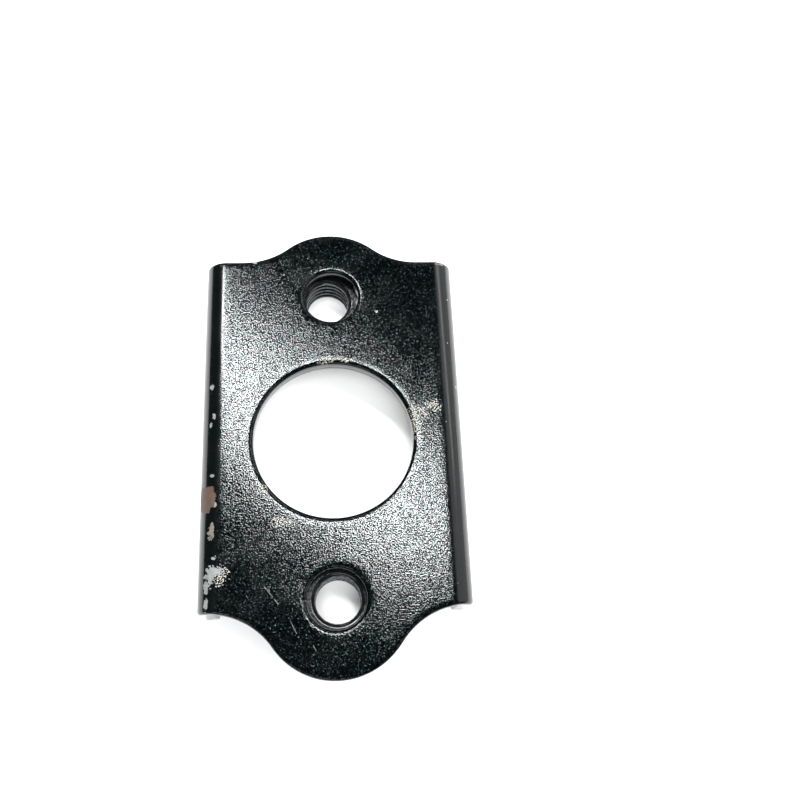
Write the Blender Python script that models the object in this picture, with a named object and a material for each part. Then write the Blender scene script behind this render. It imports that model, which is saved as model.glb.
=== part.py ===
"""Door chain guard: a pressed steel channel plate with a weld nut fixed behind each of its two screw holes.

The plate lies with its face up and its two side flanges standing on the ground. The origin is on the ground
under the middle of the plate, +Y runs along the plate towards its long-shouldered end, and +Z is up.
"""

import math

import bmesh
import bpy
from mathutils import Vector

MM = 0.001

# Plate
WIDTH = 41.3 * MM  # over the two flanges
LENGTH = 72.0 * MM  # from tab tip to tab tip
HEIGHT = 10.8 * MM  # from the flanges' feet to the plate's face
SHEET = 2.5 * MM
BEND_RADIUS = 3.4 * MM  # outside of the bends
UPPER_SHOULDER = 31.0 * MM  # distance from the middle to where the flanges end, at the +Y end
LOWER_SHOULDER = 26.0 * MM  # the same at the -Y end
TAB_RADIUS = 11.5 * MM  # round end of each tab
NECK_RADIUS = 12.0 * MM  # hollow curve between a tab and its shoulders

# Holes, punched from the plate's face, so that each has a rolled lip there
CENTRE_HOLE_RADIUS = 12.5 * MM
SCREW_HOLE_RADIUS = 4.5 * MM
SCREW_HOLE_Y = 24.5 * MM  # distance of each screw hole from the middle
LIP_RADIUS = 0.5 * MM

# Weld nuts, each a little off its screw hole's centre
NUT_ACROSS_FLATS = 14.0 * MM
NUT_HEIGHT = 6.0 * MM
NUT_CORNER_RADIUS = 9.2 * MM  # turned chamfer that takes off the nut's four corners
NUT_CHAMFER_DEPTH = 0.7 * MM
THREAD_CREST_RADIUS = 3.45 * MM  # M8 thread, as a plain bore at its minor diameter
THREAD_MOUTH_RADIUS = 4.0 * MM  # 45 degree countersink at both ends of the thread
NUT_GAP = 0.3 * MM  # stand-off that the corner welds leave under the sheet
UPPER_NUT_OFFSET = Vector((-0.55 * MM, 0.25 * MM, 0.0))
LOWER_NUT_OFFSET = Vector((0.2 * MM, 0.1 * MM, 0.0))

# Fineness of round shapes
ARC_STEPS = 18
BEND_STEPS = 10
LIP_STEPS = 3
CENTRE_HOLE_SIDES = 80
SCREW_HOLE_SIDES = 48
SMOOTH_ANGLE = math.radians(30)

CUT_CLEARANCE = 2.0 * MM  # how far a cutter reaches past what it cuts


def clear_scene():
    for obj in list(bpy.data.objects):
        bpy.data.objects.remove(obj, do_unlink=True)


def make_material(name, colour, roughness, metallic):
    material = bpy.data.materials.new(name)
    material.use_nodes = True
    shader = material.node_tree.nodes["Principled BSDF"]
    shader.inputs["Base Color"].default_value = (*colour, 1.0)
    shader.inputs["Roughness"].default_value = roughness
    shader.inputs["Metallic"].default_value = metallic
    return material


def arc(centre, radius, start, end, steps):
    """Points of an arc in a plane, from one angle in degrees to another, both ends included."""
    angles = [math.radians(start + (end - start) * i / steps) for i in range(steps + 1)]
    return [(centre[0] + radius * math.cos(a), centre[1] + radius * math.sin(a)) for a in angles]


def add_object(name, mesh_builder, material):
    """An object whose mesh is taken from a bmesh, with its round sides shaded smooth."""
    mesh = bpy.data.meshes.new(name)
    bmesh.ops.recalc_face_normals(mesh_builder, faces=mesh_builder.faces)
    mesh_builder.to_mesh(mesh)
    mesh_builder.free()
    mesh.shade_smooth()
    mesh.set_sharp_from_angle(angle=SMOOTH_ANGLE)
    mesh.materials.append(material)
    obj = bpy.data.objects.new(name, mesh)
    bpy.context.scene.collection.objects.link(obj)
    return obj


def extruded(points, direction):
    """A closed prism: a flat ring of 3D points, extruded by a vector."""
    bm = bmesh.new()
    face = bm.faces.new([bm.verts.new(p) for p in points])
    sweep = bmesh.ops.extrude_face_region(bm, geom=[face])
    moved = [item for item in sweep["geom"] if isinstance(item, bmesh.types.BMVert)]
    bmesh.ops.translate(bm, verts=moved, vec=direction)
    return bm


def turned(profile, sides):
    """A closed solid of revolution about Z: a profile of (radius, z) points that starts and ends on the axis."""
    bm = bmesh.new()
    verts = [bm.verts.new((radius, 0.0, z)) for radius, z in profile]
    edges = [bm.edges.new(pair) for pair in zip(verts, verts[1:])]
    bmesh.ops.spin(
        bm,
        geom=verts + edges,
        axis=(0, 0, 1),
        cent=(0, 0, 0),
        angle=math.tau,
        steps=sides,
        use_merge=True,
    )
    bmesh.ops.remove_doubles(bm, verts=bm.verts, dist=0.001 * MM)
    return bm


def as_cutter(obj):
    obj.hide_render = True
    obj.display_type = "WIRE"


def add_boolean(obj, other, operation):
    as_cutter(other)
    modifier = obj.modifiers.new(other.name, "BOOLEAN")
    modifier.operation = operation
    modifier.solver = "EXACT"
    modifier.object = other


def channel_section():
    """The U-shaped section of the sheet, seen along the plate: (x, z) points, feet at z = 0."""
    bend_x = WIDTH / 2 - BEND_RADIUS
    bend_z = HEIGHT - BEND_RADIUS
    inner_radius = BEND_RADIUS - SHEET
    outer_foot = WIDTH / 2
    inner_foot = WIDTH / 2 - SHEET
    outside = arc((bend_x, bend_z), BEND_RADIUS, 0, 90, BEND_STEPS)
    inside = arc((bend_x, bend_z), inner_radius, 90, 0, BEND_STEPS)
    outside_left = [(-x, z) for x, z in reversed(outside)]
    inside_left = [(-x, z) for x, z in reversed(inside)]
    right = [(outer_foot, 0.0)] + outside
    left = outside_left + [(-outer_foot, 0.0), (-inner_foot, 0.0)]
    return right + left + inside_left + inside + [(inner_foot, 0.0)]


def half_end_outline(shoulder):
    """Half of one end of the plate's outline, from the tab's tip out to its shoulder: (x, y) points, x > 0."""
    tab_centre_y = LENGTH / 2 - TAB_RADIUS
    neck_centre_y = shoulder + NECK_RADIUS
    reach = TAB_RADIUS + NECK_RADIUS
    rise = neck_centre_y - tab_centre_y
    neck_centre_x = math.sqrt(reach**2 - rise**2)
    meet = math.degrees(math.atan2(rise, neck_centre_x))
    tab = arc((0, tab_centre_y), TAB_RADIUS, 90, meet, ARC_STEPS)
    neck = arc((neck_centre_x, neck_centre_y), NECK_RADIUS, 180 + meet, 270, ARC_STEPS)
    return tab + neck[1:] + [(WIDTH / 2 + CUT_CLEARANCE, shoulder)]


def plate_outline():
    """The whole outline of the pressed plate, seen from above, clockwise from its upper left shoulder."""
    upper = half_end_outline(UPPER_SHOULDER)
    lower = half_end_outline(LOWER_SHOULDER)
    upper_left = [(-x, y) for x, y in reversed(upper[1:])]
    lower_right = [(x, -y) for x, y in reversed(lower[1:])]
    lower_left = [(-x, -y) for x, y in lower]
    return upper_left + upper + lower_right + lower_left


def punched_hole(radius):
    """Turned profile of a hole through the sheet, with z = 0 at the plate's face and a lip rolled into it."""
    lip = arc((radius + LIP_RADIUS, -LIP_RADIUS), LIP_RADIUS, 90, 180, LIP_STEPS)
    low = -SHEET - CUT_CLEARANCE
    return [(0, CUT_CLEARANCE), (radius + LIP_RADIUS, CUT_CLEARANCE)] + lip + [(radius, low), (0, low)]


def add_guard_plate(material):
    section = [(x, -LENGTH / 2 - CUT_CLEARANCE, z) for x, z in channel_section()]
    plate = add_object("guard_plate", extruded(section, Vector((0, LENGTH + 2 * CUT_CLEARANCE, 0))), material)

    below = -CUT_CLEARANCE
    outline = [(x, y, below) for x, y in plate_outline()]
    prism = extruded(outline, Vector((0, 0, HEIGHT + 2 * CUT_CLEARANCE)))
    add_boolean(plate, add_object("outline_cutter", prism, material), "INTERSECT")

    holes = {
        "centre_hole": (CENTRE_HOLE_RADIUS, 0.0, CENTRE_HOLE_SIDES),
        "upper_screw_hole": (SCREW_HOLE_RADIUS, SCREW_HOLE_Y, SCREW_HOLE_SIDES),
        "lower_screw_hole": (SCREW_HOLE_RADIUS, -SCREW_HOLE_Y, SCREW_HOLE_SIDES),
    }
    for name, (radius, y, sides) in holes.items():
        cutter = add_object(f"{name}_cutter", turned(punched_hole(radius), sides), material)
        cutter.location = (0, y, HEIGHT)
        add_boolean(plate, cutter, "DIFFERENCE")
    return plate


def add_weld_nut(name, position, material):
    """A square weld nut with its upper face at the given position."""
    half = NUT_ACROSS_FLATS / 2
    corners = [(half, half, -NUT_HEIGHT), (-half, half, -NUT_HEIGHT), (-half, -half, -NUT_HEIGHT)]
    corners.append((half, -half, -NUT_HEIGHT))
    nut = add_object(name, extruded(corners, Vector((0, 0, NUT_HEIGHT))), material)
    nut.location = position

    neck = NUT_CORNER_RADIUS - 2 * NUT_CHAMFER_DEPTH
    blank_profile = [
        (0, CUT_CLEARANCE),
        (NUT_CORNER_RADIUS, CUT_CLEARANCE),
        (NUT_CORNER_RADIUS, NUT_CHAMFER_DEPTH - NUT_HEIGHT),
        (neck, -NUT_HEIGHT),
        (neck, -NUT_HEIGHT - CUT_CLEARANCE),
        (0, -NUT_HEIGHT - CUT_CLEARANCE),
    ]
    bore = THREAD_CREST_RADIUS
    mouth = THREAD_MOUTH_RADIUS
    countersink = mouth - bore
    bore_profile = [
        (0, CUT_CLEARANCE),
        (mouth + CUT_CLEARANCE, CUT_CLEARANCE),
        (bore, -countersink),
        (bore, countersink - NUT_HEIGHT),
        (mouth + CUT_CLEARANCE, -NUT_HEIGHT - CUT_CLEARANCE),
        (0, -NUT_HEIGHT - CUT_CLEARANCE),
    ]
    cuts = (("blank", blank_profile, "INTERSECT"), ("bore", bore_profile, "DIFFERENCE"))
    for cut, profile, operation in cuts:
        cutter = add_object(f"{name}_{cut}_cutter", turned(profile, SCREW_HOLE_SIDES), material)
        cutter.location = position
        add_boolean(nut, cutter, operation)
    return nut


def main():
    clear_scene()
    plate_paint = make_material("black_textured_paint", (0.012, 0.013, 0.014), 0.35, 0.0)
    nut_paint = make_material("black_nut_paint", (0.02, 0.021, 0.022), 0.3, 0.0)
    add_guard_plate(plate_paint)

    nut_top = HEIGHT - SHEET - NUT_GAP
    upper = Vector((0, SCREW_HOLE_Y, nut_top)) + UPPER_NUT_OFFSET
    lower = Vector((0, -SCREW_HOLE_Y, nut_top)) + LOWER_NUT_OFFSET
    add_weld_nut("upper_weld_nut", upper, nut_paint)
    add_weld_nut("lower_weld_nut", lower, nut_paint)


main()
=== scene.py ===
"""Looks of the door chain guard: a black painted channel plate with a weld nut behind each screw hole.

The plate lies on a white floor with its face up. +Y runs along it towards its long-shouldered end, +Z is up.
"""

import math

import bmesh
import bpy
from mathutils import Euler, Matrix, Vector, kdtree, noise
from mathutils.geometry import delaunay_2d_cdt


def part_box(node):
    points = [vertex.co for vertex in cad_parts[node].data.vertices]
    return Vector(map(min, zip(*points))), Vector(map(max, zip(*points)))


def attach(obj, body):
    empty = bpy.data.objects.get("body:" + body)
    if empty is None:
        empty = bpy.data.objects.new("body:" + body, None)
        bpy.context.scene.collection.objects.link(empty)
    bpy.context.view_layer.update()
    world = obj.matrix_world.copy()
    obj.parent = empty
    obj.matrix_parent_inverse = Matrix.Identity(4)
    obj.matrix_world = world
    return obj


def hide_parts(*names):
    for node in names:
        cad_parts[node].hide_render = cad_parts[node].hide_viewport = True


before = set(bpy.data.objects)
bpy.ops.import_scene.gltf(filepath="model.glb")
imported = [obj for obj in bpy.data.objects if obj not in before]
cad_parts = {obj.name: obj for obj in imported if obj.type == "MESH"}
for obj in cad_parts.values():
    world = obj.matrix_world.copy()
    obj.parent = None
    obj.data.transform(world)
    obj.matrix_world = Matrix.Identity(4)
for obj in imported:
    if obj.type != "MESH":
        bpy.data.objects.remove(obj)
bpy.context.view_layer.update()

MM = 0.001
PLATE_LOW, PLATE_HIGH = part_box("guard_plate")
WIDTH = PLATE_HIGH.x - PLATE_LOW.x
LENGTH = PLATE_HIGH.y - PLATE_LOW.y
HEIGHT = PLATE_HIGH.z

# Plate
SHEET = 2.5 * MM
BEND_RADIUS = 3.4 * MM
UPPER_SHOULDER = 31.0 * MM
LOWER_SHOULDER = 26.0 * MM
TAB_RADIUS = 11.5 * MM
NECK_RADIUS = 12.0 * MM
CENTRE_HOLE_RADIUS = 12.5 * MM
SCREW_HOLE_RADIUS = 4.5 * MM
SCREW_HOLE_Y = 24.5 * MM
FOOT_CORNER = 1.0 * MM  # round corners of the flanges' feet

FLAT_HALF = WIDTH / 2 - BEND_RADIUS
BEND_RUN = BEND_RADIUS * math.pi / 2
FOOT = FLAT_HALF + BEND_RUN + HEIGHT - BEND_RADIUS  # half the developed width of the sheet

# Punched edges: rolled over at the face, upright, then broken out, with a small round at the back
ROLL_WIDTH = 0.65 * MM  # round the plate and its screw holes
CENTRE_ROLL_WIDTH = 0.85 * MM  # round the centre hole
ROLL_DEPTH = 0.5 * MM
BREAK_OUT = 0.07 * MM
BREAK_SHAPE = ((0.0, 0.36), (0.0, 0.5), (0.6, 0.6), (1.0, 0.75))  # shares of BREAK_OUT and of SHEET
BURR_ROUND = 0.16 * MM

# Fineness of the plate's mesh
EDGE_STEP = 0.3 * MM
FACE_STEP = 0.8 * MM
EDGE_CLEARANCE = 0.8 * EDGE_STEP  # how far the face's own points stay from an edge
MERGE_DISTANCE = 1e-9
BEND_COLUMNS = 16
ROLL_STEPS = 6
BURR_STEPS = 3

# Weld nuts
NUT_CORNER_RADIUS = 9.2 * MM
NUT_CHAMFER = 0.7 * MM
NUT_EDGE = 0.35 * MM  # how far the rounding of its edges reaches
NUT_EDGE_SHAPE = ((1.0, 0.0), (0.3, 0.1), (0.1, 0.3), (0.0, 1.0))  # shares of NUT_EDGE, inwards and down
NUT_EDGE_PULL = 0.1  # how far the lower edge's middle point stands back, as a share of the edge
THREAD_CREST_RADIUS = 3.45 * MM
THREAD_DEPTH = 0.62 * MM
THREAD_PITCH = 1.15 * MM
THREAD_CREST = 0.1  # the crest's share of half a pitch
THREAD_FLANK = 0.75  # the flank's share of half a pitch
THREAD_MOUTH_RADIUS = 4.0 * MM
MOUTH_LAND = 0.15 * MM  # narrow flat ring round the thread's mouth
NUT_TURN_STEPS = 120
THREAD_ROWS_PER_TURN = 24
NUT_SHARP_ANGLE = math.radians(50)

# Weld beads
BEAD_SIZE = Vector((1.7 * MM, 1.25 * MM, 1.15 * MM))  # half lengths: outwards, sideways and up
BEAD_INSET = 0.5 * MM  # from the nut's corner to the bead's middle
BEAD_SINK = 0.3 * MM  # how far a bead reaches into the sheet
BEAD_TWIST = 0.3  # each bead of a nut lies this much further askew than the last, in radians
BEAD_LUMP_HEIGHT = 0.16  # as a share of the bead's size
BEAD_LUMP_SCALE = 1.7  # noise lumps to half a bead's length
BEAD_SUBDIVISIONS = 4


def arc(centre, radius, start, end):
    """Points of a plane arc, EDGE_STEP apart, from one angle in degrees to another, both ends included."""
    steps = max(3, round(abs(math.radians(end - start)) * radius / EDGE_STEP))
    angles = [math.radians(start + (end - start) * i / steps) for i in range(steps + 1)]
    return [(centre[0] + radius * math.cos(a), centre[1] + radius * math.sin(a)) for a in angles]


def line(start, end):
    """Points of a straight line, EDGE_STEP apart, without its two ends."""
    steps = max(1, round(math.dist(start, end) / EDGE_STEP))
    return [tuple(a + (b - a) * i / steps for a, b in zip(start, end)) for i in range(1, steps)]


def developed(x):
    """Where a point of the face at x lies once the sheet is unrolled flat."""
    past = abs(x) - FLAT_HALF
    if past <= 0:
        return x
    turn = math.asin(min(past / BEND_RADIUS, 1.0))
    return math.copysign(FLAT_HALF + turn * BEND_RADIUS, x)


def half_end(shoulder):
    """Half of one end of the flat outline, from the tab's tip to the middle of the flange's foot, x > 0."""
    tab_centre_y = LENGTH / 2 - TAB_RADIUS
    neck_centre_y = shoulder + NECK_RADIUS
    rise = neck_centre_y - tab_centre_y
    neck_centre_x = math.sqrt((TAB_RADIUS + NECK_RADIUS) ** 2 - rise**2)
    meet = math.degrees(math.atan2(rise, neck_centre_x))
    tab = arc((0, tab_centre_y), TAB_RADIUS, 90, meet)
    neck = arc((neck_centre_x, neck_centre_y), NECK_RADIUS, 180 + meet, 270)
    neck = [(developed(x), y) for x, y in neck]
    corner = arc((FOOT - FOOT_CORNER, shoulder - FOOT_CORNER), FOOT_CORNER, 90, 0)
    return tab + neck[1:] + line(neck[-1], corner[0]) + corner + line(corner[-1], (FOOT, 0))


def flat_outline():
    """The flat sheet's outline, clockwise from the tip of its upper tab."""
    upper = half_end(UPPER_SHOULDER)
    lower = half_end(LOWER_SHOULDER)
    right = upper + [(FOOT, 0)] + [(x, -y) for x, y in reversed(lower)]
    left = [(-x, -y) for x, y in lower[1:]] + [(-FOOT, 0)] + [(-x, y) for x, y in reversed(upper[1:])]
    return right + left


def inward_normals(loop):
    """Unit normals of a closed clockwise loop of 2D points, to its right-hand side."""
    normals = []
    for before, after in zip([loop[-1]] + loop[:-1], loop[1:] + loop[:1]):
        run = Vector(after) - Vector(before)
        normals.append(Vector((run.y, -run.x)).normalized())
    return normals


def on_sheet(across, along, depth):
    """A point of the bent sheet, from its place on the unrolled sheet and its depth below the face."""
    side = math.copysign(1.0, across)
    run = abs(across) - FLAT_HALF
    if run <= 0:
        return Vector((across, along, HEIGHT - depth))
    if run < BEND_RUN:
        turn = run / BEND_RADIUS
        radius = BEND_RADIUS - depth
        x = FLAT_HALF + radius * math.sin(turn)
        return Vector((side * x, along, HEIGHT - BEND_RADIUS + radius * math.cos(turn)))
    return Vector((side * (WIDTH / 2 - depth), along, HEIGHT - BEND_RADIUS - (run - BEND_RUN)))


def cut_edge_profile(roll_width):
    """Section of a punched edge, from the face round to the back: (distance into the metal, depth) points."""
    quarter = [math.pi / 2 * i / ROLL_STEPS for i in range(ROLL_STEPS + 1)]
    roll = [(roll_width * (1 - math.sin(a)), ROLL_DEPTH * (1 - math.cos(a))) for a in quarter]
    wall = [(inset * BREAK_OUT, depth * SHEET) for inset, depth in BREAK_SHAPE]
    base = SHEET - BURR_ROUND
    small = [math.pi / (2 * BURR_STEPS) * i for i in range(BURR_STEPS + 1)]
    burr = [(BREAK_OUT + BURR_ROUND * (1 - math.cos(a)), base + BURR_ROUND * math.sin(a)) for a in small]
    return roll + wall + burr


def add_object(name, mesh_builder, material):
    """A smooth piece of the part, made from a bmesh."""
    mesh = bpy.data.meshes.new(name)
    bmesh.ops.recalc_face_normals(mesh_builder, faces=mesh_builder.faces)
    mesh_builder.to_mesh(mesh)
    mesh_builder.free()
    mesh.shade_smooth()
    mesh.materials.append(material)
    obj = bpy.data.objects.new(name, mesh)
    bpy.context.scene.collection.objects.link(obj)
    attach(obj, "root")
    return obj


def lattice_points(loops):
    """Points of the flat sheet on a staggered lattice, finer across the bends, clear of every edge loop."""
    tree = kdtree.KDTree(sum(len(loop) for loop in loops))
    for index, point in enumerate(p for loop in loops for p in loop):
        tree.insert((point[0], point[1], 0), index)
    tree.balance()
    flat_columns = round(2 * FLAT_HALF / FACE_STEP)
    columns = [FLAT_HALF * (2 * i / flat_columns - 1) for i in range(flat_columns + 1)]
    flange_columns = round((FOOT - FLAT_HALF - BEND_RUN) / FACE_STEP)
    for side in (1, -1):
        columns += [side * (FLAT_HALF + BEND_RUN * i / BEND_COLUMNS) for i in range(1, BEND_COLUMNS + 1)]
        start = FLAT_HALF + BEND_RUN
        columns += [side * (start + (FOOT - start) * i / flange_columns) for i in range(1, flange_columns)]
    rows = round(LENGTH / FACE_STEP)
    points = []
    for number, x in enumerate(columns):
        for row in range(rows):
            y = LENGTH * ((row + 0.25 + 0.5 * (number % 2)) / rows - 0.5)
            if tree.find((x, y, 0))[2] > EDGE_CLEARANCE:
                points.append((x, y))
    return points


def inside(point, loop):
    """Whether a 2D point is inside a closed loop."""
    x, y = point
    crossings = 0
    for (x0, y0), (x1, y1) in zip(loop, loop[1:] + loop[:1]):
        if (y0 > y) != (y1 > y) and x < x0 + (y - y0) * (x1 - x0) / (y1 - y0):
            crossings += 1
    return crossings % 2 == 1


def add_cap(bm, rings, depth):
    """Closes the face or back between the outline and the holes. Each ring is (flat points, verts)."""
    fixed = [Vector(p) for points, _ in rings for p in points]
    verts = [v for _, ring_verts in rings for v in ring_verts]
    edges = []
    start = 0
    for points, _ in rings:
        count = len(points)
        edges += [(start + i, start + (i + 1) % count) for i in range(count)]
        start += count
    loops = [points for points, _ in rings]
    outline = loops[0]
    free = [Vector(p) for p in lattice_points(loops) if inside(p, outline)]
    free = [p for p in free if not any(inside(p, hole) for hole in loops[1:])]
    coords, _, faces, origins, _, _ = delaunay_2d_cdt(fixed + free, edges, [], 0, MERGE_DISTANCE)
    made = []
    for place, origin in zip(coords, origins):
        known = [i for i in origin if i < len(verts)]
        made.append(verts[known[0]] if known else bm.verts.new(on_sheet(place.x, place.y, depth)))
    for face in faces:
        middle = sum((coords[i] for i in face), Vector((0, 0))) / len(face)
        if inside(middle, outline) and not any(inside(middle, hole) for hole in loops[1:]):
            bm.faces.new([made[i] for i in face])


def add_plate(material):
    """The pressed plate, with rolled punched edges and round bends, in one closed mesh."""
    loops = [flat_outline()]
    holes = ((0, CENTRE_HOLE_RADIUS), (SCREW_HOLE_Y, SCREW_HOLE_RADIUS), (-SCREW_HOLE_Y, SCREW_HOLE_RADIUS))
    for y, radius in holes:
        loops.append(arc((0, y), radius, 0, 360)[:-1])
    bm = bmesh.new()
    face_rings = []
    back_rings = []
    roll_widths = (ROLL_WIDTH, CENTRE_ROLL_WIDTH, ROLL_WIDTH, ROLL_WIDTH)
    for loop, roll_width in zip(loops, roll_widths):
        profile = cut_edge_profile(roll_width)
        normals = inward_normals(loop)
        rows = []
        for inset, depth in profile:
            flat = [Vector(p) + n * inset for p, n in zip(loop, normals)]
            rows.append((flat, [bm.verts.new(on_sheet(p.x, p.y, depth)) for p in flat]))
        for (_, above), (_, below) in zip(rows, rows[1:]):
            for i in range(len(loop)):
                j = (i + 1) % len(loop)
                bm.faces.new((above[i], above[j], below[j], below[i]))
        face_rings.append(([tuple(p) for p in rows[0][0]], rows[0][1]))
        back_rings.append(([tuple(p) for p in rows[-1][0]], rows[-1][1]))
    add_cap(bm, face_rings, 0.0)
    add_cap(bm, back_rings, SHEET)
    plate = add_object("pressed_plate", bm, material)
    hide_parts("guard_plate")
    return plate


def thread_radius(height, turn):
    """Radius of the threaded bore at a height above the nut's underside and a turn from 0 to 1."""
    phase = (height / THREAD_PITCH - turn) % 1.0
    flank = min(max((abs(2 * phase - 1) - THREAD_CREST) / THREAD_FLANK, 0.0), 1.0)
    return THREAD_CREST_RADIUS + THREAD_DEPTH * flank * flank * (3 - 2 * flank)


def nut_section(turn, outer, tall):
    """Section of a nut at a turn from 0 to 1: (radius, height) points up its bore, out and down its side."""
    rows = round(tall / THREAD_PITCH * THREAD_ROWS_PER_TURN)
    bore = []
    for row in range(rows + 1):
        height = tall * row / rows
        mouth = THREAD_MOUTH_RADIUS - min(height, tall - height)
        bore.append((max(thread_radius(height, turn), mouth), height))
    land = THREAD_MOUTH_RADIUS + MOUTH_LAND
    middle = (THREAD_MOUTH_RADIUS + outer) / 2
    corner_cut = max(0.0, outer - (NUT_CORNER_RADIUS - 2 * NUT_CHAMFER)) / 2
    lower_edge = outer - NUT_EDGE_PULL * NUT_EDGE - NUT_EDGE_PULL * corner_cut
    top = [(land, tall), (middle, tall)]
    side = [(outer - inset * NUT_EDGE, tall - drop * NUT_EDGE) for inset, drop in NUT_EDGE_SHAPE]
    side += [(outer, NUT_EDGE + corner_cut), (lower_edge, corner_cut)]
    bottom = [(outer - NUT_EDGE - 2 * corner_cut, 0.0), (middle, 0.0), (land, 0.0)]
    return bore + top + side + bottom


def add_nut(name, node, material):
    """A square weld nut with a real helical thread, rounded edges and a countersink at both ends."""
    low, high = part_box(node)
    centre = (low + high) / 2
    half = (high.x - low.x) / 2
    bm = bmesh.new()
    columns = []
    for step in range(NUT_TURN_STEPS):
        turn = step / NUT_TURN_STEPS
        angle = math.tau * turn
        square = half / max(abs(math.cos(angle)), abs(math.sin(angle)))
        outer = min(square, NUT_CORNER_RADIUS)
        ring = []
        for radius, height in nut_section(turn, outer, high.z - low.z):
            place = Vector((radius * math.cos(angle), radius * math.sin(angle), height))
            ring.append(bm.verts.new(Vector((centre.x, centre.y, low.z)) + place))
        columns.append(ring)
    for here, beyond in zip(columns, columns[1:] + columns[:1]):
        for i in range(len(here)):
            j = (i + 1) % len(here)
            bm.faces.new((here[i], here[j], beyond[j], beyond[i]))
    nut = add_object(name, bm, material)
    nut.data.set_sharp_from_angle(angle=NUT_SHARP_ANGLE)
    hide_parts(node)
    return nut


def add_weld_beads(name, node, material):
    """The four lumps of weld that hold a nut to the sheet, one at each of its corners."""
    low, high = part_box(node)
    centre = (low + high) / 2
    underside = HEIGHT - SHEET
    reach = NUT_CORNER_RADIUS - BEAD_INSET
    bm = bmesh.new()
    for corner in range(4):
        angle = math.radians(45 + 90 * corner)
        place = Vector((centre.x + reach * math.cos(angle), centre.y + reach * math.sin(angle), underside))
        own_lumps = Vector((corner * 9.1, low.y * 900, 0))  # a different piece of the noise for each bead
        lump = bmesh.ops.create_icosphere(bm, subdivisions=BEAD_SUBDIVISIONS, radius=1.0)["verts"]
        for vert in lump:
            rough = 1 + BEAD_LUMP_HEIGHT * noise.noise(vert.co * BEAD_LUMP_SCALE + own_lumps)
            size = BEAD_SIZE * rough
            spread = Vector((vert.co.x * size.x, vert.co.y * size.y, vert.co.z * size.z))
            vert.co = place + Matrix.Rotation(angle + BEAD_TWIST * corner, 3, "Z") @ spread
            vert.co.z = min(vert.co.z, underside + BEAD_SINK)
    return add_object(name, bm, material)


FAR = 10.0  # where a search for the nearest mark starts, out of every mark's reach


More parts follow.
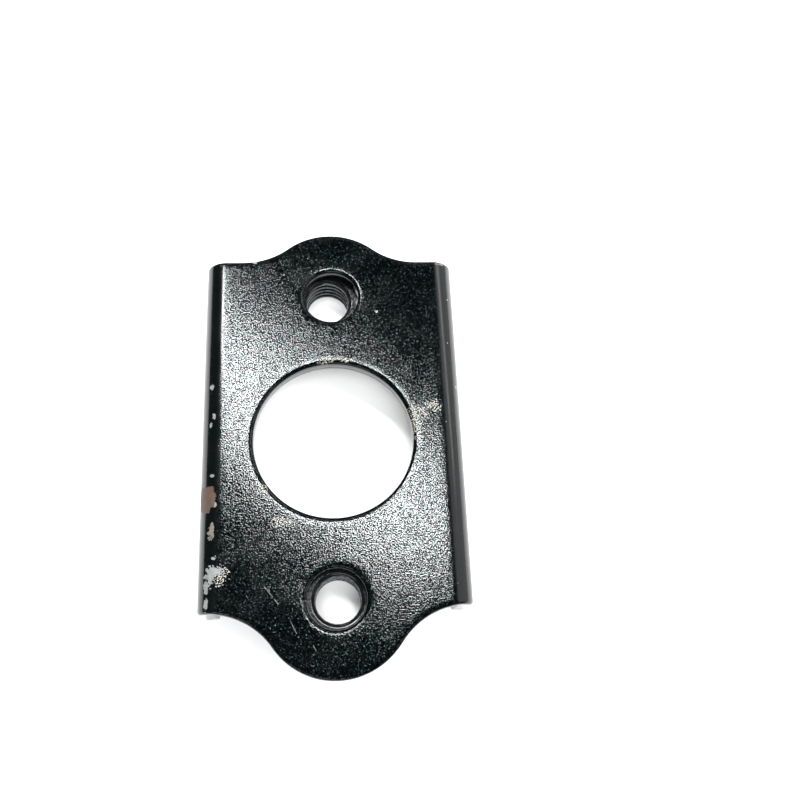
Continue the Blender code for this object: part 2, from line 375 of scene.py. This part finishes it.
class Nodes:
    """Short calls that add nodes to a material and link them."""

    def __init__(self, name):
        self.material = bpy.data.materials.new(name)
        self.material.use_nodes = True
        self.tree = self.material.node_tree
        self.shader = self.tree.nodes["Principled BSDF"]
        coordinates = self.tree.nodes.new("ShaderNodeTexCoord")
        self.place = coordinates.outputs["Object"]
        self.normal = coordinates.outputs["Normal"]

    def put(self, value, socket):
        """Links an output to a socket, or sets the socket to a constant."""
        if isinstance(value, bpy.types.NodeSocket):
            self.tree.links.new(value, socket)
        else:
            socket.default_value = value

    def add(self, kind, **settings):
        """A new node with some of its settings changed."""
        node = self.tree.nodes.new(kind)
        for name, value in settings.items():
            setattr(node, name, value)
        return node

    def math(self, operation, a, b=0.0):
        """A sum, product or the like of two numbers."""
        node = self.add("ShaderNodeMath", operation=operation)
        self.put(a, node.inputs[0])
        self.put(b, node.inputs[1])
        return node.outputs[0]

    def vector(self, operation, a, b=(0.0, 0.0, 0.0)):
        """A sum, product or the like of two vectors."""
        node = self.add("ShaderNodeVectorMath", operation=operation)
        self.put(a, node.inputs[0])
        self.put(b, node.inputs[1])
        return node.outputs["Value"] if operation in ("LENGTH", "DOT_PRODUCT") else node.outputs["Vector"]

    def noise(self, size, detail=2.0, distortion=0.0):
        """Noise from 0 to 1 whose lumps are about this size in metres."""
        node = self.add("ShaderNodeTexNoise")
        self.put(self.place, node.inputs["Vector"])
        node.inputs["Scale"].default_value = 1 / size
        node.inputs["Detail"].default_value = detail
        node.inputs["Distortion"].default_value = distortion
        return node.outputs["Fac"]

    def ramp(self, value, low, high, to_low=0.0, to_high=1.0):
        """The value moved smoothly from one range to another, and held at its ends."""
        node = self.add("ShaderNodeMapRange", interpolation_type="SMOOTHSTEP")
        for number, entry in zip((value, low, high, to_low, to_high), node.inputs):
            self.put(number, entry)
        return node.outputs[0]

    def mix(self, share, first, second):
        """The second colour laid over the first by a share from 0 to 1."""
        node = self.add("ShaderNodeMix", data_type="RGBA")
        self.put(share, node.inputs["Factor"])
        colours = [entry for entry in node.inputs if entry.type == "RGBA"]
        for value, socket in zip((first, second), colours):
            self.put((*value, 1.0) if isinstance(value, tuple) else value, socket)
        return [out for out in node.outputs if out.type == "RGBA"][0]

    def spots(self, spots, ragged, noise_size):
        """Where any of the given spots lies, 0 to 1, with ragged edges."""
        nearest = FAR
        for x, y, wide, long in spots:
            place = on_sheet(developed(x * MM), y * MM, 0.0)
            offset = self.vector("SUBTRACT", self.place, tuple(place))
            scaled = self.vector("DIVIDE", offset, (wide * MM, long * MM, max(wide, long) * MM))
            nearest = self.math("MINIMUM", self.vector("LENGTH", scaled), nearest)
        wander = self.math("MULTIPLY", self.noise(noise_size, detail=3.0), ragged)
        edge = self.math("ADD", nearest, wander)
        return self.ramp(edge, 0.85 + ragged / 2, 1.05 + ragged / 2, 1.0, 0.0)

    def scratches(self, scratches, width):
        """Where any of the given scratches on the face lies, 0 to 1, with gaps."""
        nearest = FAR
        flat = self.vector("MULTIPLY", self.place, (1.0, 1.0, 0.0))
        for x0, y0, x1, y1 in scratches:
            run = Vector((x1 - x0, y1 - y0, 0.0)) * MM
            offset = self.vector("SUBTRACT", flat, (x0 * MM, y0 * MM, 0.0))
            along = self.vector("DOT_PRODUCT", offset, tuple(run / run.length_squared))
            held = self.add("ShaderNodeClamp")
            self.put(along, held.inputs["Value"])
            reached = self.add("ShaderNodeVectorMath", operation="SCALE")
            reached.inputs[0].default_value = run
            self.put(held.outputs[0], reached.inputs["Scale"])
            away = self.vector("LENGTH", self.vector("SUBTRACT", offset, reached.outputs["Vector"]))
            nearest = self.math("MINIMUM", away, nearest)
        broken = self.noise(SCRATCH_GAP)
        line = self.ramp(nearest, width * 0.4, width, 1.0, 0.0)
        return self.math("MULTIPLY", line, self.ramp(broken, 0.4, 0.55))

    def bump(self, height, distance, strength=1.0, before=None):
        """The surface's normal with bumps of this height in metres, on top of those made before."""
        node = self.add("ShaderNodeBump")
        self.put(height, node.inputs["Height"])
        self.put(strength, node.inputs["Strength"])
        node.inputs["Distance"].default_value = distance
        if before:
            self.put(before, node.inputs["Normal"])
        return node.outputs["Normal"]


# Wear on the face and its bends, in mm: (x, y, half width, half length)
RUST_CHIPS = ((-19.5, -9, 1.8, 2.1),)
TAN_CHIPS = ((-18.5, -14, 0.55, 1.1), (18.5, 30.5, 0.6, 0.25), (-16.5, 31, 0.7, 0.25))
CORNER_CHIPS = (
    (-18.5, -20.5, 0.8, 1.4),
    (-17.5, -20, 0.8, 0.5),
    (-19, -22, 0.45, 1.1),
    (-19, -24.5, 0.3, 0.9),
)
LEFT_CHIPS = (
    (-19, 9, 0.35, 0.5),
    (-18.5, 4, 0.25, 0.5),
    (-19, 2.5, 0.2, 0.55),
    (-18.5, -5.5, 0.45, 0.2),
    (-18, -10, 0.2, 0.45),
    (-18, -18, 0.35, 0.25),
)
RIGHT_CHIPS = ((20, 8.5, 0.1, 0.3), (20.5, 0, 0.1, 0.25), (19, 16, 0.1, 0.1), (19.5, 24, 0.15, 0.15))
EDGE_CHIPS = ((0.5, 36, 0.5, 0.3), (9, 34.5, 0.55, 0.35), (-12.5, 31, 0.5, 0.3))
WORN_PATCHES = (
    (13.5, 4, 1.6, 1.3),
    (16, 5, 1.4, 0.9),
    (13, 2, 0.9, 2.2),
    (-8, -13, 1.8, 0.6),
    (7.5, 21.5, 0.3, 0.5),
    (-1, 13, 1.2, 0.5),
    (2.5, 13, 0.9, 0.3),
    (-11, -8, 0.7, 0.7),
    (-17, -20.5, 1.2, 1.2),
)
SCRATCHES = (  # x and y of both ends
    (7, -13, 7.5, -17),
    (8.5, -14.5, 8.5, -17.5),
    (6.5, -16, 6.5, -19),
    (-10.5, -22.5, -8.5, -25),
    (-7, -27, -5.5, -30),
    (-3.5, -31, -3, -32),
    (-9, -13.5, -6.5, -12.5),
)

# Sizes of the materials' patterns
GRAIN = 0.2 * MM
CLUMP = 0.7 * MM
GLINT_FLECK_SIZE = 0.21 * MM
PATCH = 5 * MM
ORANGE_PEEL = 1.1 * MM
CHIP_MOTTLE = 0.35 * MM
DUST_SPACING = 1.9 * MM
SCRATCH_WIDTH = 0.08 * MM
SCRATCH_GAP = 0.5 * MM
NUT_GRAIN = 0.4 * MM
FLOOR_MOTTLE = 12 * MM

# Heights of their bumps
GRAIN_HEIGHT = 0.016 * MM
PEEL_HEIGHT = 0.012 * MM
CHIP_DEPTH = 0.06 * MM
NUT_GRAIN_HEIGHT = 0.006 * MM

# Colours, the mottled ones as (dark, pale)
PAINT_BLACK = (0.0002, 0.0006, 0.0007)
# Painted glint: pale teal-grey for the flecks on the flat face, in place of the glinting of the paint's grain
PAINTED_GLINT_GREY = (0.022, 0.036, 0.038)
DUST_GREY = (0.2, 0.21, 0.21)
WORN_GREY = (0.24, 0.23, 0.2)
SCRATCH_GREY = (0.15, 0.16, 0.165)
BARE_STEEL = ((0.04, 0.045, 0.045), (0.24, 0.25, 0.245))
TAN_PRIMER = ((0.04, 0.033, 0.025), (0.17, 0.15, 0.12))
RUST = ((0.022, 0.012, 0.008), (0.085, 0.05, 0.036))
NUT_BLACK = ((0.0015, 0.0018, 0.002), (0.006, 0.007, 0.0075))
# Painted highlight: grey for the threads' crests, in place of the light they catch
PAINTED_CREST_HIGHLIGHT_GREY = (0.13, 0.14, 0.145)
FLOOR_WHITE = ((0.86, 0.86, 0.86), (0.9, 0.9, 0.9))


def on_flat_face(n):
    """1 on the plate's flat face, nearly 0 on its bends, its flanges and its cut edges."""
    split = n.add("ShaderNodeSeparateXYZ")
    n.put(n.place, split.inputs[0])
    sideways = n.math("ABSOLUTE", split.outputs["X"])
    between_bends = n.ramp(sideways, FLAT_HALF - 0.2 * MM, FLAT_HALF + 0.8 * MM, 1.0, 0.06)
    facing = n.add("ShaderNodeSeparateXYZ")
    n.put(n.normal, facing.inputs[0])
    level = n.ramp(n.math("ABSOLUTE", facing.outputs["Z"]), 0.6, 0.9, 0.1, 1.0)
    return n.math("MULTIPLY", between_bends, level)


def plate_wear(n, grain):
    """Where the plate is chipped to rust, to tan primer and to bare steel, worn, and scratched."""
    rust = n.spots(RUST_CHIPS, 1.0, 0.9 * MM)
    tan = n.spots(TAN_CHIPS, 2.6, 0.6 * MM)
    bare = n.spots(CORNER_CHIPS + LEFT_CHIPS + RIGHT_CHIPS + EDGE_CHIPS, 3.2, 0.5 * MM)
    worn = n.math("MULTIPLY", n.spots(WORN_PATCHES, 3.6, 0.7 * MM), n.ramp(grain, 0.52, 0.6))
    return rust, tan, bare, worn, n.scratches(SCRATCHES, SCRATCH_WIDTH)


def plate_paint():
    """Black grained paint, smooth on the bends, with chips down to primer, rust and bare steel, and painted
    glints on its flat face.

    The low spots of the grain are almost black and metallic, so that they hardly reflect.
    """
    n = Nodes("black_textured_paint")
    on_face = on_flat_face(n)
    grain = n.noise(GRAIN, detail=0.0, distortion=0.3)
    clumped = n.math("ADD", grain, n.math("MULTIPLY", n.noise(CLUMP), 0.28))
    glint_flecks = n.noise(GLINT_FLECK_SIZE, detail=0.0)
    patches = n.noise(PATCH, detail=3.0)

    rust, tan, bare, worn, lines = plate_wear(n, grain)
    chipped = n.math("MAXIMUM", n.math("MAXIMUM", rust, tan), bare)
    marked = n.math("MAXIMUM", chipped, n.math("MULTIPLY", n.math("MAXIMUM", worn, lines), 0.8))

    dust = n.add("ShaderNodeTexVoronoi")
    dust.inputs["Scale"].default_value = 1 / DUST_SPACING
    n.put(n.place, dust.inputs["Vector"])
    specks = n.ramp(dust.outputs["Distance"], 0.03, 0.06, 0.7, 0.0)

    # Painted glints: pale teal-grey flecks in the flat face's colour stand in for the glinting of its grain
    painted_glint_share = n.math("MULTIPLY", n.ramp(glint_flecks, 0.56, 0.85), on_face)
    colour = n.mix(painted_glint_share, PAINT_BLACK, PAINTED_GLINT_GREY)
    colour = n.mix(specks, colour, DUST_GREY)
    colour = n.mix(worn, colour, WORN_GREY)
    colour = n.mix(n.math("MULTIPLY", lines, 0.3), colour, SCRATCH_GREY)
    mottle = n.noise(CHIP_MOTTLE, detail=4.0)
    for share, shades in ((bare, BARE_STEEL), (tan, TAN_PRIMER), (rust, RUST)):
        colour = n.mix(share, colour, n.mix(mottle, *shades))
    n.put(colour, n.shader.inputs["Base Color"])

    gloss = n.math("SUBTRACT", n.ramp(patches, 0.3, 0.7, 0.13, 0.2), n.math("MULTIPLY", on_face, 0.07))
    n.put(n.math("ADD", gloss, n.math("MULTIPLY", marked, 0.45)), n.shader.inputs["Roughness"])
    kept = n.math("MULTIPLY", on_face, n.math("SUBTRACT", 1.0, chipped))
    n.put(n.math("MULTIPLY", kept, n.ramp(clumped, 0.56, 0.74, 0.97, 0.0)), n.shader.inputs["Metallic"])
    peel = n.bump(n.noise(ORANGE_PEEL, detail=3.0), PEEL_HEIGHT, 0.5)
    grained = n.bump(grain, GRAIN_HEIGHT, kept, peel)
    n.put(n.bump(n.math("SUBTRACT", 1.0, chipped), CHIP_DEPTH, 1.0, grained), n.shader.inputs["Normal"])
    return n.material


def nut_paint():
    """Thin glossy black paint on the nuts, with the crests of their threads coloured grey as a painted
    highlight.
    """
    n = Nodes("black_nut_paint")
    flat = n.vector("MULTIPLY", n.place, (1.0, 1.0, 0.0))
    from_axis = FAR
    for node in ("upper_weld_nut", "lower_weld_nut"):
        low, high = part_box(node)
        axis = ((low.x + high.x) / 2, (low.y + high.y) / 2, 0.0)
        from_axis = n.math("MINIMUM", n.vector("LENGTH", n.vector("SUBTRACT", flat, axis)), from_axis)
    grain = n.noise(NUT_GRAIN)
    # Painted highlight: the threads' crests coloured grey, where they would catch the light
    crest_highlight = n.ramp(from_axis, THREAD_CREST_RADIUS + 0.03 * MM, THREAD_CREST_RADIUS + 0.14 * MM, 1.0, 0.0)
    crest_highlight = n.math("MULTIPLY", crest_highlight, n.ramp(grain, 0.3, 0.6, 0.3, 1.0))
    colour = n.mix(n.ramp(grain, 0.35, 0.7), *NUT_BLACK)
    n.put(n.mix(crest_highlight, colour, PAINTED_CREST_HIGHLIGHT_GREY), n.shader.inputs["Base Color"])
    n.put(n.ramp(grain, 0.3, 0.7, 0.14, 0.22), n.shader.inputs["Roughness"])
    n.put(n.bump(grain, NUT_GRAIN_HEIGHT), n.shader.inputs["Normal"])
    return n.material


def floor_paint():
    """Matt white, very slightly mottled."""
    n = Nodes("white_floor")
    mottle = n.noise(FLOOR_MOTTLE, detail=4.0)
    n.put(n.mix(mottle, *FLOOR_WHITE), n.shader.inputs["Base Color"])
    n.shader.inputs["Roughness"].default_value = 0.7
    return n.material


# Surroundings
FLOOR_HALF = 0.6
FLOOR_DROP = 0.03 * MM  # keeps the floor just clear of the flanges' feet
TUBE_RUN = (0.91, -0.41, 0)  # the back and front lights lie parallel, along this line
LIGHTS = (  # name, direction it shines from, distance, size, direction of its first side, power
    ("overhead", (-0.1, 0.345, 1), 0.52, (0.385, 0.075), (0.83, -0.63, 0), 4.4),
    ("back", (0.4, 0.88, 1.0), 0.7, (1.2, 0.08), TUBE_RUN, 1.0),
    ("low_back", (0.2, 0.95, 0.22), 0.8, (1.0, 0.1), (1, 0, 0), 11.0),
    ("front", (-0.3, -1.5, 1.0), 0.7, (0.6, 0.1), TUBE_RUN, 1.0),
    ("right", (1.0, 0.3, 0.62), 0.8, (1.4, 0.9), (0.3, -1, 0), 4.8),
    ("side_fill", (0.7, -0.3, 1), 0.8, (0.6, 0.6), (1, 0, 0), 5.0),
    ("front_fill", (0, -0.4, 1), 0.8, (0.4, 0.4), (1, 0, 0), 5.0),
)
UNREFLECTED = ("low_back", "side_fill", "front_fill")  # these don't show in the paint's gloss
ROOM_COLOUR = (0.75, 0.96, 1.0, 1.0)
ROOM_STRENGTH = 0.13
CAMERA_PLACE = Vector((-0.53, -37.41, 136.3)) * MM
CAMERA_TURN = Euler([math.radians(angle) for angle in (19.245, -4.193, -2.594)])
CAMERA_LENS = 37.63  # in millimetres, as Blender takes it
CAMERA_SENSOR = 36.0


def add_floor(material):
    """A square floor that isn't part of the object."""
    bm = bmesh.new()
    corners = ((-1, -1), (1, -1), (1, 1), (-1, 1))
    bm.faces.new([bm.verts.new((x * FLOOR_HALF, y * FLOOR_HALF, -FLOOR_DROP)) for x, y in corners])
    mesh = bpy.data.meshes.new("floor")
    bm.to_mesh(mesh)
    bm.free()
    mesh.materials.append(material)
    floor = bpy.data.objects.new("floor", mesh)
    bpy.context.scene.collection.objects.link(floor)


def add_light(name, towards, distance, size, along, power):
    """A soft rectangular light that shines on the part from a direction, its first side along another."""
    lamp = bpy.data.lights.new(name, "AREA")
    lamp.shape = "RECTANGLE"
    lamp.size, lamp.size_y = size
    lamp.energy = power
    light = bpy.data.objects.new(name, lamp)
    bpy.context.scene.collection.objects.link(light)
    back = Vector(towards).normalized()
    right = Vector(along)
    right = (right - back * right.dot(back)).normalized()
    turn = Matrix((right, back.cross(right), back)).transposed()
    light.matrix_world = Matrix.Translation(back * distance) @ turn.to_4x4()
    light.visible_glossy = name not in UNREFLECTED


def add_surroundings():
    """The floor, the lights and the dim room around them."""
    add_floor(floor_paint())
    for light in LIGHTS:
        add_light(*light)
    world = bpy.data.worlds.new("room")
    world.use_nodes = True
    background = world.node_tree.nodes["Background"]
    background.inputs["Color"].default_value = ROOM_COLOUR
    background.inputs["Strength"].default_value = ROOM_STRENGTH
    bpy.context.scene.world = world
    bpy.context.scene.view_settings.view_transform = "Standard"


def add_camera():
    data = bpy.data.cameras.new("camera")
    data.lens = CAMERA_LENS
    data.sensor_width = CAMERA_SENSOR
    data.clip_start = 5 * MM
    data.clip_end = 10.0
    camera = bpy.data.objects.new("camera", data)
    camera.location = CAMERA_PLACE
    camera.rotation_euler = CAMERA_TURN
    bpy.context.scene.collection.objects.link(camera)
    bpy.context.scene.camera = camera


def main():
    add_camera()
    add_surroundings()
    add_plate(plate_paint())
    metal = nut_paint()
    for end in ("upper", "lower"):
        add_nut(f"{end}_nut", f"{end}_weld_nut", metal)
        add_weld_beads(f"{end}_weld_beads", f"{end}_weld_nut", metal)


main()

bpy.context.view_layer.update()
